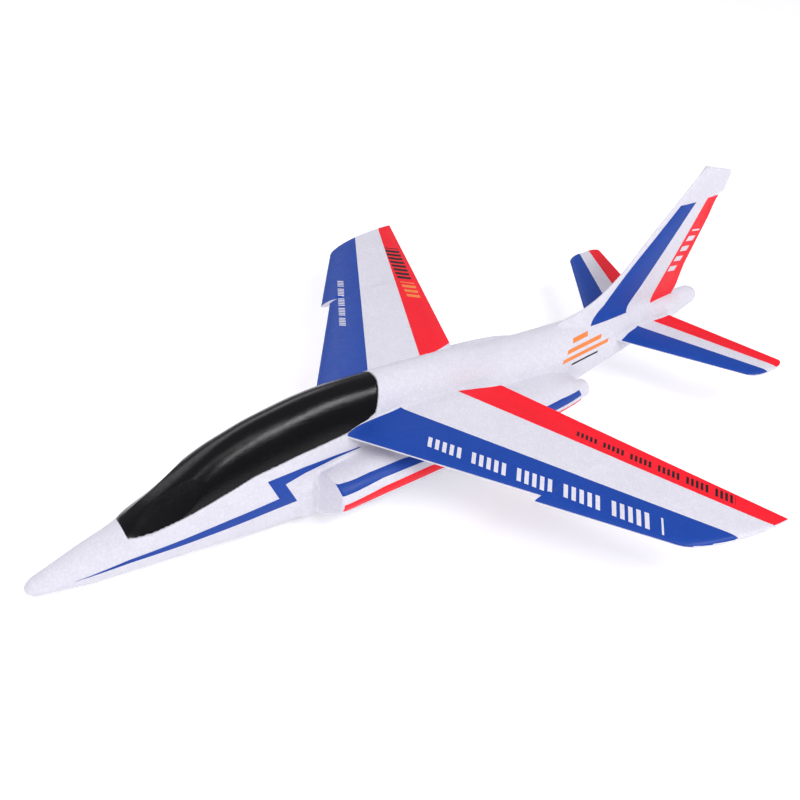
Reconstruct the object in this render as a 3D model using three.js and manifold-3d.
import * as THREE from 'three';
import { mergeVertices } from 'three/addons/utils/BufferGeometryUtils.js';
import Module from 'manifold-3d';

// A hand-launch foam jet glider, in millimetres. Shapes are laid out in stations: x to port,
// y aft from the nose tip, z up from the level of the nose tip. The last lines move the whole
// airframe so that it stands on z = 0 with its origin under the middle of its length.

const wasm = await Module();
wasm.setup();

// ---- driving dimensions ----

const GAP = 0.3;
const BODY_LENGTH = 560;
const OVERALL_LENGTH = 576;
const BELLY_Z = -25.5;
const NOSE_ROUNDING = 6;
const TAIL_ROUNDING = 8;
// The end rings keep this share of a rounding, so that they don't shrink to a point.
const END_OPENING = 0.02;
const RING_POINTS = 32;
const ROUND_SIDES = 20;
// Cutting tools reach this far, past everything that they cut.
const CUTTER_REACH = 700;
const LOWER_FULLNESS = 2.3;

// Body shape along the stations: [y, value].
const UPPER_FULLNESS = [[0, 2], [58, 2.2], [80, 2.8], [108, 2.5], [150, 2.05], [562, 2]];
const BODY_HALF_WIDTH = [
  [0, 4.8], [18, 8.3], [39, 12.6], [63, 16.4], [100, 20.8], [150, 24.6], [200, 26], [300, 26],
  [350, 25], [396, 22.5], [437, 19], [486, 15.5], [520, 12.3], [545, 8.8], [562, 7.2],
];
const BODY_WAIST = [
  [0, -0.5], [39, 1.7], [87, 6], [133, 11], [208, 15], [317, 16], [396, 19], [437, 20], [486, 22],
  [562, 31],
];
const BODY_CREST = [
  [0, 4], [18, 9], [39, 14.6], [63, 20], [72, 25.6], [82, 31.6], [97, 39.1], [107, 43.9], [133, 55.8],
  [162, 63.4], [208, 68], [243, 66], [317, 58.5], [358, 50.8], [396, 47], [437, 44.5], [486, 41.5],
  [533, 37.2], [562, 36.6],
];
const BODY_KEEL = [
  [0, -5], [18, -8], [39, -11], [63, -12.4], [99, -15.4], [150, -21.4], [185, -25.5], [210, -27],
  [320, -27], [350, -24], [396, -13.5], [437, -2.5], [486, 9], [520, 14.8], [545, 20.6], [562, 26],
];

const CANOPY = {
  frontY: 64.5,
  lowerEdge: [[65, 17.5], [82, 20], [105, 25], [127, 31], [148, 36.5], [180, 40.5], [215, 43], [232, 46]],
  rearLow: [240, 49],
  rearHigh: [253, 70],
  ceiling: 90,
};

// Each side of the windscreen is cut almost flat, from an edge beside its crest down to the canopy's
// lower edge. Behind fadeFromY the cut lifts away from the body, so that it runs out.
const WINDSCREEN = {
  stations: [63, 72, 82, 94, 106, 116, 126],
  edgeX: [[63, 6.3], [72, 5.3], [82, 4.8], [106, 5]],
  bulge: 0.6,
  fadeFromY: 88,
  fadeLift: 5,
  clear: 25,
};

const WING = {
  planeZ: 41.7,
  droop: THREE.MathUtils.degToRad(2.3),
  rootX: 8,
  rootLeadY: 205.5,
  leadSlope: 0.68,
  toothX: 134,
  toothStep: 8,
  toothWidth: 0.6,
  rootTrailY: 327.6,
  trailSlope: 0.361,
  cornerX: 208,
  tipX: 228,
  tipTrailInset: 1.5,
  rootThickness: 9,
  tipThickness: 5,
  tipKeep: 0.25,
};
const TAIL = {
  planeZ: 28.5,
  droop: THREE.MathUtils.degToRad(3.3),
  rootX: 3,
  rootLeadY: 451.4,
  leadSlope: 0.647,
  rootTrailY: 514.1,
  trailSlope: 0.352,
  cornerX: 101,
  tipX: 107,
  rootThickness: 5.6,
  tipThickness: 3.6,
  tipKeep: 0.3,
  tipLeadInset: 9,
  tipTrailInset: 14,
  rise: 0.019,
};
const CHORD_STEPS = 9;
// Edges are never thinner than this, from this share of the chord back.
const EDGE_HALF_THICKNESS = 0.7;
const EDGE_START = 0.125;
const UPPER_SHARE = 1.25;
const LOWER_SHARE = 0.75;

const WING_ROD = { y: 297, radius: 2, reach: 92, lift: 0.9 };
const TAIL_ROD = { y: 499, radius: 1, reach: 44, lift: 0.4 };

// Fin levels: [height, leading edge y, trailing edge y, thickness]. The lowest ones flare out into
// a fillet along the back of the body, and follow its fall towards the tail.
const FIN_LEVELS = [
  [37, 411, 533, 26], [41.5, 411, 536, 18.5], [44, 412, 535.5, 13], [46.5, 415, 536, 9.8],
  [49.5, 427, 536.8, 8], [53, 439, 538, 7.3], [61, 457, 541.5, 6.8], [74, 475, 547.5, 6.4],
  [97, 498, 558.5, 5.6], [117, 519.3, 567.5, 4.9], [118, 520.4, 571, 4.9], [134, 537.4, 576, 4.4],
  [143, 547, 549.5, 4],
];
const FIN_FALL = { slope: 0.067, fromY: 440, fullBelow: 49.5, goneAt: 61 };
const FIN_TONGUE = { halfWidth: 2.2, outline: [[450, 33], [498, 31], [498, 43], [450, 47]] };

// The intake face leans back outwards and upwards by this slope, over the stations before rakeEndY.
const NACELLE = {
  rake: 0.1,
  rakeX: 38,
  rakeZ: 10,
  rakeEndY: 200,
  innerX: 12,
  fairingX: 23,
};
// Nacelle stations: [y, centre x, centre z, radius, crown, upper fairing z, lower fairing z], where
// crown is how high the top half is as a share of the radius.
const NACELLE_STATIONS = [
  [191, 38.5, 15.5, 15, 0.8, 19.5, -12],
  [193, 38.5, 15.5, 16.1, 0.78, 21, -13],
  [206, 38.5, 16, 16.8, 0.76, 25, -12.5],
  [230, 38.5, 16, 17, 0.76, 28, -11.5],
  [283, 38, 16, 17, 0.8, 31, -11],
  [340, 37, 15.5, 15.6, 0.93, 32, -8],
  [383, 35.5, 13.8, 12.6, 1, 28, -2],
  [400, 34.6, 12, 10.4, 1, 22.5, 0],
  [407, 34.1, 11, 9, 1, 19, 2.2],
];
const NACELLE_ARC_STEPS = 14;
const NOZZLE = { x: 34, z: 10, startY: 396, endY: 416, radius: 7.2, rounding: 2.2 };
const SPLITTER = {
  startY: 176, endY: 186, innerX: 14, outerX: 28.2, lowZ: -12, highZ: 19, corner: 4,
  frontInset: 2.2, frontLength: 3,
};

const BAY = { halfWidth: 13, startY: 98, endY: 172, floorZ: -5, corner: 4 };
const BALLAST = { halfWidth: 8, length: 24, height: 9, chamfer: 0.8 };
const MAGNET = { y: 222, radius: 4, thickness: 2.5, recess: 0.6 };
const PIN = { y: 86, radius: 2, length: 12, buried: 5, spare: 1 };
const BORE_SPARE = 2;

// ---- materials ----

const foamWhite = new THREE.MeshStandardMaterial({ color: 0xf1f0f6, roughness: 0.55, metalness: 0 });
const canopyBlack = new THREE.MeshStandardMaterial({ color: 0x17171a, roughness: 0.3, metalness: 0 });
const carbonBlack = new THREE.MeshStandardMaterial({ color: 0x242427, roughness: 0.35, metalness: 0 });
const steelGrey = new THREE.MeshStandardMaterial({ color: 0x9a9c9f, roughness: 0.35, metalness: 1 });
const plasticBlack = new THREE.MeshStandardMaterial({ color: 0x1d1d1f, roughness: 0.5, metalness: 0 });

// ---- helpers ----

// A smooth curve through [position, value] pairs that never overshoots them.
function smoothProfile(pairs) {
  const count = pairs.length;
  const steps = [];
  for (let i = 0; i + 1 < count; i += 1) {
    steps.push((pairs[i + 1][1] - pairs[i][1]) / (pairs[i + 1][0] - pairs[i][0]));
  }
  const slopes = pairs.map((pair, i) => {
    if (i === 0) return steps[0];
    if (i === count - 1) return steps[count - 2];
    const product = steps[i - 1] * steps[i];
    return product > 0 ? (2 * product) / (steps[i - 1] + steps[i]) : 0;
  });
  return (position) => {
    const clamped = THREE.MathUtils.clamp(position, pairs[0][0], pairs[count - 1][0]);
    let i = 0;
    while (i < count - 2 && clamped > pairs[i + 1][0]) i += 1;
    const width = pairs[i + 1][0] - pairs[i][0];
    const t = (clamped - pairs[i][0]) / width;
    const start = pairs[i][1] * (1 + 2 * t) * (1 - t) ** 2 + slopes[i] * width * t * (1 - t) ** 2;
    const end = pairs[i + 1][1] * t * t * (3 - 2 * t) + slopes[i + 1] * width * t * t * (t - 1);
    return start + end;
  };
}

function linearProfile(pairs) {
  return (position) => {
    let i = 0;
    while (i < pairs.length - 2 && position > pairs[i + 1][0]) i += 1;
    const t = (position - pairs[i][0]) / (pairs[i + 1][0] - pairs[i][0]);
    return THREE.MathUtils.lerp(pairs[i][1], pairs[i + 1][1], THREE.MathUtils.clamp(t, 0, 1));
  };
}

// Joins rings of equal length into one closed body, with a fan over each end.
function loft(rings) {
  const size = rings[0].length;
  const positions = rings.flat().flatMap((point) => [point.x, point.y, point.z]);
  const index = [];
  for (let i = 0; i + 1 < rings.length; i += 1) {
    for (let j = 0; j < size; j += 1) {
      const a = i * size + j;
      const b = i * size + ((j + 1) % size);
      index.push(a, b, b + size, a, b + size, a + size);
    }
  }
  for (const [ring, first, turn] of [[rings[0], 0, 1], [rings.at(-1), (rings.length - 1) * size, -1]]) {
    const centre = ring.reduce((sum, point) => sum.add(point), new THREE.Vector3()).divideScalar(size);
    const hub = positions.length / 3;
    positions.push(centre.x, centre.y, centre.z);
    for (let j = 0; j < size; j += 1) {
      const here = first + j;
      const next = first + ((j + 1) % size);
      index.push(...(turn > 0 ? [hub, next, here] : [hub, here, next]));
    }
  }
  const geometry = new THREE.BufferGeometry();
  geometry.setAttribute('position', new THREE.Float32BufferAttribute(positions, 3));
  geometry.setIndex(index);
  return toSolid(geometry);
}

function signedVolume(vertices, triangles) {
  let total = 0;
  const corner = (i) => new THREE.Vector3().fromArray(vertices, 3 * triangles[i]);
  for (let i = 0; i < triangles.length; i += 3) {
    total += corner(i).dot(corner(i + 1).cross(corner(i + 2)));
  }
  return total / 6;
}

function toSolid(geometry) {
  const bare = geometry.clone();
  bare.deleteAttribute('normal');
  bare.deleteAttribute('uv');
  const merged = mergeVertices(bare, 1e-4);
  const vertices = new Float32Array(merged.attributes.position.array);
  const triangles = new Uint32Array(merged.index.array);
  if (signedVolume(vertices, triangles) < 0) {
    for (let i = 0; i < triangles.length; i += 3) {
      [triangles[i + 1], triangles[i + 2]] = [triangles[i + 2], triangles[i + 1]];
    }
  }
  return new wasm.Manifold(new wasm.Mesh({ numProp: 3, vertProperties: vertices, triVerts: triangles }));
}

function toGeometry(solid) {
  const mesh = solid.getMesh();
  const geometry = new THREE.BufferGeometry();
  geometry.setAttribute('position', new THREE.Float32BufferAttribute(mesh.vertProperties, 3));
  geometry.setIndex(Array.from(mesh.triVerts));
  const faceted = geometry.toNonIndexed();
  faceted.computeVertexNormals();
  return faceted;
}

function box(low, high) {
  const size = high.map((value, axis) => value - low[axis]);
  const geometry = new THREE.BoxGeometry(...size);
  geometry.translate(...low.map((value, axis) => value + size[axis] / 2));
  return toSolid(geometry);
}

// A plate of the given outline in (y, z), from startX to endX.
function sidePlate(outline, startX, endX) {
  const shape = new THREE.Shape(outline.map(([y, z]) => new THREE.Vector2(y, z)));
  const geometry = new THREE.ExtrudeGeometry(shape, { depth: endX - startX, bevelEnabled: false });
  geometry.applyMatrix4(new THREE.Matrix4().set(0, 0, 1, startX, 1, 0, 0, 0, 0, 1, 0, 0, 0, 0, 0, 1));
  return toSolid(geometry);
}

function uprightCylinder(radius, y, lowZ, highZ) {
  const geometry = new THREE.CylinderGeometry(radius, radius, highZ - lowZ, ROUND_SIDES);
  geometry.rotateX(Math.PI / 2);
  geometry.translate(0, y, (lowZ + highZ) / 2);
  return toSolid(geometry);
}

function mirrored(solid) {
  return solid.mirror([1, 0, 0]);
}

// ---- body ----

const bodyHalfWidth = smoothProfile(BODY_HALF_WIDTH);
const bodyWaist = smoothProfile(BODY_WAIST);
const bodyCrest = smoothProfile(BODY_CREST);
const bodyKeel = smoothProfile(BODY_KEEL);
const upperFullness = smoothProfile(UPPER_FULLNESS);
const deckZ = linearProfile(CANOPY.lowerEdge);

function endRounding(y) {
  const fromNose = THREE.MathUtils.clamp(y / NOSE_ROUNDING, END_OPENING, 1);
  const fromTail = THREE.MathUtils.clamp((BODY_LENGTH - y) / TAIL_ROUNDING, END_OPENING, 1);
  return Math.sqrt(1 - (1 - fromNose) ** 2) * Math.sqrt(1 - (1 - fromTail) ** 2);
}

function bodyRing(y, grow) {
  const rounding = endRounding(y);
  const waist = bodyWaist(y);
  const halfWidth = bodyHalfWidth(y) * rounding + grow;
  const up = (bodyCrest(y) - waist) * rounding + grow;
  const down = (waist - bodyKeel(y)) * rounding + grow;
  const ring = [];
  for (let i = 0; i < RING_POINTS; i += 1) {
    const angle = (2 * Math.PI * (i + 0.5)) / RING_POINTS;
    const power = 2 / (Math.sin(angle) > 0 ? upperFullness(y) : LOWER_FULLNESS);
    const across = Math.sign(Math.cos(angle)) * Math.abs(Math.cos(angle)) ** power;
    const along = Math.sign(Math.sin(angle)) * Math.abs(Math.sin(angle)) ** power;
    ring.push(new THREE.Vector3(halfWidth * across, y, waist + (along > 0 ? up : down) * along));
  }
  return ring;
}

const BODY_STATIONS = [
  0, 0.6, 2, 4, 6, 12, 24, 39, 52, 63, 74, 86, 98, 112, 127, 145, 165, 190, 215, 243, 275, 310, 340,
  365, 390, 415, 440, 465, 490, 515, 536, 548, 552, 555, 557.5, 559.3, 560,
];

function bodySolid(grow) {
  return loft(BODY_STATIONS.map((y) => bodyRing(y, grow)));
}

function canopyOutline(gap) {
  const { frontY, lowerEdge, rearLow, rearHigh, ceiling } = CANOPY;
  return [
    [frontY - 1.5 + gap, ceiling],
    [frontY + gap, lowerEdge[0][1] + gap],
    ...lowerEdge.slice(1).map(([y, z]) => [y, z + gap]),
    [rearLow[0] - gap, rearLow[1] + gap / 2],
    [rearHigh[0] - gap, rearHigh[1] + gap / 2],
    [rearHigh[0] - gap, ceiling],
  ];
}

// How far out the body's upper side is at that station and height.
function bodySide(y, z) {
  const power = upperFullness(y);
  const share = (z - bodyWaist(y)) / (bodyCrest(y) - bodyWaist(y));
  return bodyHalfWidth(y) * (1 - share ** power) ** (1 / power);
}

// How high the body's top is at that station, so far out.
function bodyTop(y, x) {
  const power = upperFullness(y);
  const share = x / bodyHalfWidth(y);
  return bodyWaist(y) + (bodyCrest(y) - bodyWaist(y)) * (1 - share ** power) ** (1 / power);
}

// What is cut away beside the windscreen on the port side.
function windscreenFlat() {
  const { stations, edgeX, bulge, fadeFromY, fadeLift, clear } = WINDSCREEN;
  const besideCrest = linearProfile(edgeX);
  return loft(stations.map((y) => {
    const edge = new THREE.Vector3(besideCrest(y), y, bodyTop(y, besideCrest(y)));
    const foot = new THREE.Vector3(bodySide(y, deckZ(y)), y, deckZ(y));
    const outwards = new THREE.Vector3(edge.z - foot.z, 0, foot.x - edge.x).normalize();
    const fade = Math.max((y - fadeFromY) / (stations.at(-1) - fadeFromY), 0);
    const slope = [0, 1 / 3, 2 / 3, 1].map((across) => {
      const lift = bulge * Math.sin(Math.PI * across) + fadeLift * fade ** 1.5;
      return edge.clone().lerp(foot, across).addScaledVector(outwards, lift);
    });
    const beyond = slope[3].x + clear;
    const above = slope[0].z + clear;
    return [
      ...slope,
      new THREE.Vector3(beyond, y, slope[3].z),
      new THREE.Vector3(beyond, y, above),
      new THREE.Vector3(slope[0].x, y, above),
    ];
  }));
}

// The block in front of each intake, with its front edges bevelled.
function splitterBoss() {
  const { startY, endY, innerX, outerX, lowZ, highZ, corner, frontInset, frontLength } = SPLITTER;
  const ring = (y, inset) => {
    const [sideX, low, high] = [outerX - inset, lowZ + inset, highZ - inset];
    return [
      [innerX, low], [sideX - corner, low], [sideX, low + corner],
      [sideX, high - corner], [sideX - corner, high], [innerX, high],
    ].map(([x, z]) => new THREE.Vector3(x, y, z));
  };
  return loft([ring(startY, frontInset), ring(startY + frontLength, 0), ring(endY, 0)]);
}

// ---- wing and tailplane panels ----

// Places along the chord from 0 to 1, closer together at both edges.
const CHORD_PLACES = Array.from({ length: CHORD_STEPS + 1 }, (_, i) => (
  (1 - Math.cos((Math.PI * i) / CHORD_STEPS)) / 2
));

// Half the thickness at a place along the chord: the thickness curve of a four-digit aerofoil.
function halfThickness(s, thickness) {
  const curve = 0.2969 * Math.sqrt(s) - 0.126 * s - 0.3516 * s ** 2 + 0.2843 * s ** 3 - 0.1015 * s ** 4;
  const edge = EDGE_HALF_THICKNESS * Math.min(1, s / EDGE_START);
  return Math.max(5 * thickness * curve, edge);
}

function planeHeight(panel, x, y) {
  return panel.planeZ - x * Math.tan(panel.droop) + (panel.rise ?? 0) * (y - TAIL_ROD.y);
}

// One aerofoil ring at span x, from the trailing edge over the top to the nose and back below.
function panelRing(panel, x, leadY, trailY, thickness) {
  const upper = [];
  const lower = [];
  for (const s of CHORD_PLACES) {
    const y = THREE.MathUtils.lerp(leadY, trailY, s);
    const half = halfThickness(s, thickness);
    const z = planeHeight(panel, x, y);
    upper.push(new THREE.Vector3(x, y, z + UPPER_SHARE * half));
    lower.push(new THREE.Vector3(x, y, z - LOWER_SHARE * half));
  }
  return [...upper.reverse(), ...lower.slice(1)];
}

// How far round the tip a span is, from 0 at its corner to 1 at its end.
function tipShare(panel, x) {
  return THREE.MathUtils.clamp((x - panel.cornerX) / (panel.tipX - panel.cornerX), 0, 1);
}

function panelThickness(panel, x) {
  const full = THREE.MathUtils.mapLinear(x, 0, panel.tipX, panel.rootThickness, panel.tipThickness);
  return full * THREE.MathUtils.lerp(panel.tipKeep, 1, Math.sqrt(1 - tipShare(panel, x) ** 3));
}

function wingPanel() {
  const spans = [
    WING.rootX, 40, 85, WING.toothX, WING.toothX + WING.toothWidth, 175, WING.cornerX,
    214, 219, 223, 225.8, 227.4, WING.tipX,
  ];
  return loft(spans.map((x) => {
    const tooth = THREE.MathUtils.clamp((x - WING.toothX) / WING.toothWidth, 0, 1);
    const lead = WING.rootLeadY + (x - WING.rootX) * WING.leadSlope - WING.toothStep * tooth;
    const trail = WING.rootTrailY + (x - WING.rootX) * WING.trailSlope;
    const bend = 1 - Math.sqrt(1 - tipShare(WING, x) ** 2);
    const roundedLead = THREE.MathUtils.lerp(lead, trail - WING.tipTrailInset, bend);
    return panelRing(WING, x, roundedLead, trail, panelThickness(WING, x));
  }));
}

function tailPanel() {
  const spans = [TAIL.rootX, 35, 70, TAIL.cornerX, 103.5, 105.4, 106.6, TAIL.tipX];
  return loft(spans.map((x) => {
    const bend = 1 - Math.sqrt(1 - tipShare(TAIL, x) ** 2);
    const lead = TAIL.rootLeadY + (x - TAIL.rootX) * TAIL.leadSlope + TAIL.tipLeadInset * bend;
    const trail = TAIL.rootTrailY + (x - TAIL.rootX) * TAIL.trailSlope - TAIL.tipTrailInset * bend;
    return panelRing(TAIL, x, lead, trail, panelThickness(TAIL, x));
  }));
}

// A rod or bore from the centre line outwards, drooping with its panel.
function droopingRod(panel, rod, radius, startX, endX) {
  const length = (endX - startX) / Math.cos(panel.droop);
  const geometry = new THREE.CylinderGeometry(radius, radius, length, ROUND_SIDES);
  geometry.rotateZ(-Math.PI / 2);
  geometry.rotateY(panel.droop);
  const middle = (startX + endX) / 2;
  geometry.translate(middle, rod.y, planeHeight(panel, middle, rod.y) + rod.lift);
  return toSolid(geometry);
}

// Both halves of a joiner rod, or of its bore, meeting at an angle on the centre line.
function bentRod(panel, rod, radius) {
  const starboard = box([-CUTTER_REACH, 0, -CUTTER_REACH], [0, CUTTER_REACH, CUTTER_REACH]);
  const half = droopingRod(panel, rod, radius, -radius, rod.reach).subtract(starboard);
  return half.add(mirrored(half));
}

// ---- fin ----

function finBlade() {
  return loft(FIN_LEVELS.map(([height, leadY, trailY, thickness]) => {
    const fade = (FIN_FALL.goneAt - height) / (FIN_FALL.goneAt - FIN_FALL.fullBelow);
    const slope = FIN_FALL.slope * THREE.MathUtils.clamp(fade, 0, 1);
    const left = [];
    const right = [];
    for (const s of CHORD_PLACES) {
      const half = halfThickness(s, thickness);
      const y = THREE.MathUtils.lerp(leadY, trailY, s);
      const z = height - slope * (y - FIN_FALL.fromY);
      left.push(new THREE.Vector3(half, y, z));
      right.push(new THREE.Vector3(-half, y, z));
    }
    return [...left.reverse(), ...right.slice(1)];
  }));
}

// The tab under the fin that sits in the body, or the slot for it.
function finTongue(grow) {
  const { outline, halfWidth } = FIN_TONGUE;
  const count = outline.length;
  const middle = outline.reduce((sum, [y, z]) => [sum[0] + y / count, sum[1] + z / count], [0, 0]);
  const grown = outline.map(([y, z]) => [
    y + grow * Math.sign(y - middle[0]), z + grow * Math.sign(z - middle[1]),
  ]);
  return sidePlate(grown, -halfWidth - grow, halfWidth + grow);
}

// ---- nacelle ----

// Ring of a round nacelle faired into the body side by straight tangents above and below.
function nacelleRing([y, centreX, centreZ, radius, crown, highZ, lowZ]) {
  const { fairingX, innerX } = NACELLE;
  const tangent = (z, turn) => {
    const dx = fairingX - centreX;
    const dz = z - centreZ;
    return Math.atan2(dz, dx) + turn * Math.acos(radius / Math.hypot(dx, dz));
  };
  const start = tangent(centreZ + (highZ - centreZ) / crown, -1);
  const end = tangent(lowZ, 1) - 2 * Math.PI * (tangent(lowZ, 1) > start ? 1 : 0);
  const points = [];
  for (let i = 0; i <= NACELLE_ARC_STEPS; i += 1) {
    const angle = THREE.MathUtils.lerp(start, end, i / NACELLE_ARC_STEPS);
    const height = radius * (Math.sin(angle) > 0 ? crown : 1);
    points.push([centreX + radius * Math.cos(angle), centreZ + height * Math.sin(angle)]);
  }
  points.push([fairingX, lowZ], [innerX, lowZ], [innerX, highZ], [fairingX, highZ]);
  const raked = y < NACELLE.rakeEndY ? NACELLE.rake : 0;
  return points.map(([x, z]) => (
    new THREE.Vector3(x, y + raked * (x - NACELLE.rakeX) + raked * (z - NACELLE.rakeZ), z)
  ));
}

function nacelleSolid() {
  const { x, z, startY, endY, radius, rounding } = NOZZLE;
  const length = endY - startY;
  const bevel = rounding * (1 - Math.SQRT1_2);
  const profile = [
    [0, 0], [radius, 0], [radius, length - rounding], [radius - bevel, length - bevel],
    [radius - rounding, length], [0, length],
  ].map(([across, along]) => new THREE.Vector2(across, along));
  const nozzle = new THREE.LatheGeometry(profile, ROUND_SIDES);
  nozzle.translate(x, startY, z);
  return loft(NACELLE_STATIONS.map(nacelleRing)).add(toSolid(nozzle));
}

// ---- booleans: the assembly's sub-parts ----

const wholeBody = bodySolid(0);
const clearBody = bodySolid(GAP);
const bellyCut = box(
  [-CUTTER_REACH, -CUTTER_REACH, -CUTTER_REACH], [CUTTER_REACH, CUTTER_REACH, BELLY_Z],
);
const boss = splitterBoss();

const bayOutline = [
  [BAY.startY + BAY.corner, BAY.floorZ], [BAY.endY - BAY.corner, BAY.floorZ],
  [BAY.endY, BAY.floorZ + BAY.corner], [BAY.endY, CANOPY.ceiling],
  [BAY.startY, CANOPY.ceiling], [BAY.startY, BAY.floorZ + BAY.corner],
];
const lowerMagnetTop = deckZ(MAGNET.y) - MAGNET.recess;
const lowerMagnetFoot = lowerMagnetTop - MAGNET.thickness;
const upperMagnetFoot = deckZ(MAGNET.y) + GAP;
const upperMagnetTop = upperMagnetFoot + MAGNET.thickness;
const pinTop = deckZ(PIN.y) + PIN.buried;
const pinFoot = pinTop - PIN.length;

const fuselage = wholeBody
  .subtract(bellyCut)
  .add(boss)
  .add(mirrored(boss))
  .subtract(sidePlate(canopyOutline(0), -CUTTER_REACH, CUTTER_REACH))
  .subtract(sidePlate(bayOutline, -BAY.halfWidth, BAY.halfWidth))
  .subtract(finTongue(GAP))
  .subtract(bentRod(WING, WING_ROD, WING_ROD.radius + GAP))
  .subtract(bentRod(TAIL, TAIL_ROD, TAIL_ROD.radius + GAP))
  .subtract(uprightCylinder(MAGNET.radius + GAP, MAGNET.y, lowerMagnetFoot - GAP, CANOPY.ceiling))
  .subtract(uprightCylinder(PIN.radius + GAP, PIN.y, pinFoot - PIN.spare, CANOPY.ceiling));

const portSide = box(
  [GAP / 2, -CUTTER_REACH, -CUTTER_REACH], [CUTTER_REACH, CUTTER_REACH, CUTTER_REACH],
);

const windscreenCut = windscreenFlat();
const canopy = wholeBody
  .intersect(sidePlate(canopyOutline(GAP), -CUTTER_REACH, CUTTER_REACH))
  .subtract(windscreenCut)
  .subtract(mirrored(windscreenCut))
  .subtract(uprightCylinder(MAGNET.radius + GAP, MAGNET.y, 0, upperMagnetTop + GAP))
  .subtract(uprightCylinder(PIN.radius + GAP, PIN.y, 0, pinTop + GAP));

// A panel's bore runs past the end of its rod.
function panelBore(panel, rod) {
  return droopingRod(panel, rod, rod.radius + GAP, -rod.radius, rod.reach + BORE_SPARE);
}

const nacelle = nacelleSolid().subtract(clearBody);
const wing = wingPanel().subtract(clearBody).subtract(panelBore(WING, WING_ROD));
const tailplane = tailPanel().subtract(clearBody).subtract(panelBore(TAIL, TAIL_ROD));

function ballastBlock() {
  const { halfWidth, length, height, chamfer } = BALLAST;
  const shape = new THREE.Shape([
    [-halfWidth + chamfer, 0], [halfWidth - chamfer, 0],
    [halfWidth, chamfer], [halfWidth, height - chamfer],
    [halfWidth - chamfer, height], [-halfWidth + chamfer, height],
    [-halfWidth, height - chamfer], [-halfWidth, chamfer],
  ].map(([x, z]) => new THREE.Vector2(x, z)));
  const geometry = new THREE.ExtrudeGeometry(shape, { depth: length, bevelEnabled: false });
  geometry.rotateX(Math.PI / 2);
  geometry.translate(0, BAY.startY + BAY.corner + length + GAP, BAY.floorZ + GAP);
  return toSolid(geometry);
}

// ---- scene graph ----

const airframe = new THREE.Group();
airframe.position.set(0, -OVERALL_LENGTH / 2, -BELLY_Z);

function addPart(name, solid, material) {
  const mesh = new THREE.Mesh(toGeometry(solid), material);
  mesh.name = name;
  airframe.add(mesh);
}

function addPair(name, solid, material) {
  addPart(`${name}_left`, solid, material);
  addPart(`${name}_right`, mirrored(solid), material);
}

addPart('fuselage_left_half', fuselage.intersect(portSide), foamWhite);
addPart('fuselage_right_half', fuselage.intersect(mirrored(portSide)), foamWhite);
addPart('canopy_hatch', canopy, canopyBlack);
addPart('vertical_fin', finBlade().subtract(clearBody).add(finTongue(0)), foamWhite);
addPair('nacelle', nacelle, foamWhite);
addPair('wing', wing, foamWhite);
addPair('tailplane', tailplane, foamWhite);
addPart('wing_joiner_rod', bentRod(WING, WING_ROD, WING_ROD.radius), carbonBlack);
addPart('tail_joiner_rod', bentRod(TAIL, TAIL_ROD, TAIL_ROD.radius), carbonBlack);
addPart('ballast_weight', ballastBlock(), steelGrey);
for (const [name, foot, top] of [
  ['canopy_magnet', upperMagnetFoot, upperMagnetTop],
  ['fuselage_magnet', lowerMagnetFoot, lowerMagnetTop],
]) {
  addPart(name, uprightCylinder(MAGNET.radius, MAGNET.y, foot, top), steelGrey);
}
addPart('canopy_locating_pin', uprightCylinder(PIN.radius, PIN.y, pinFoot, pinTop), plasticBlack);

export default airframe;
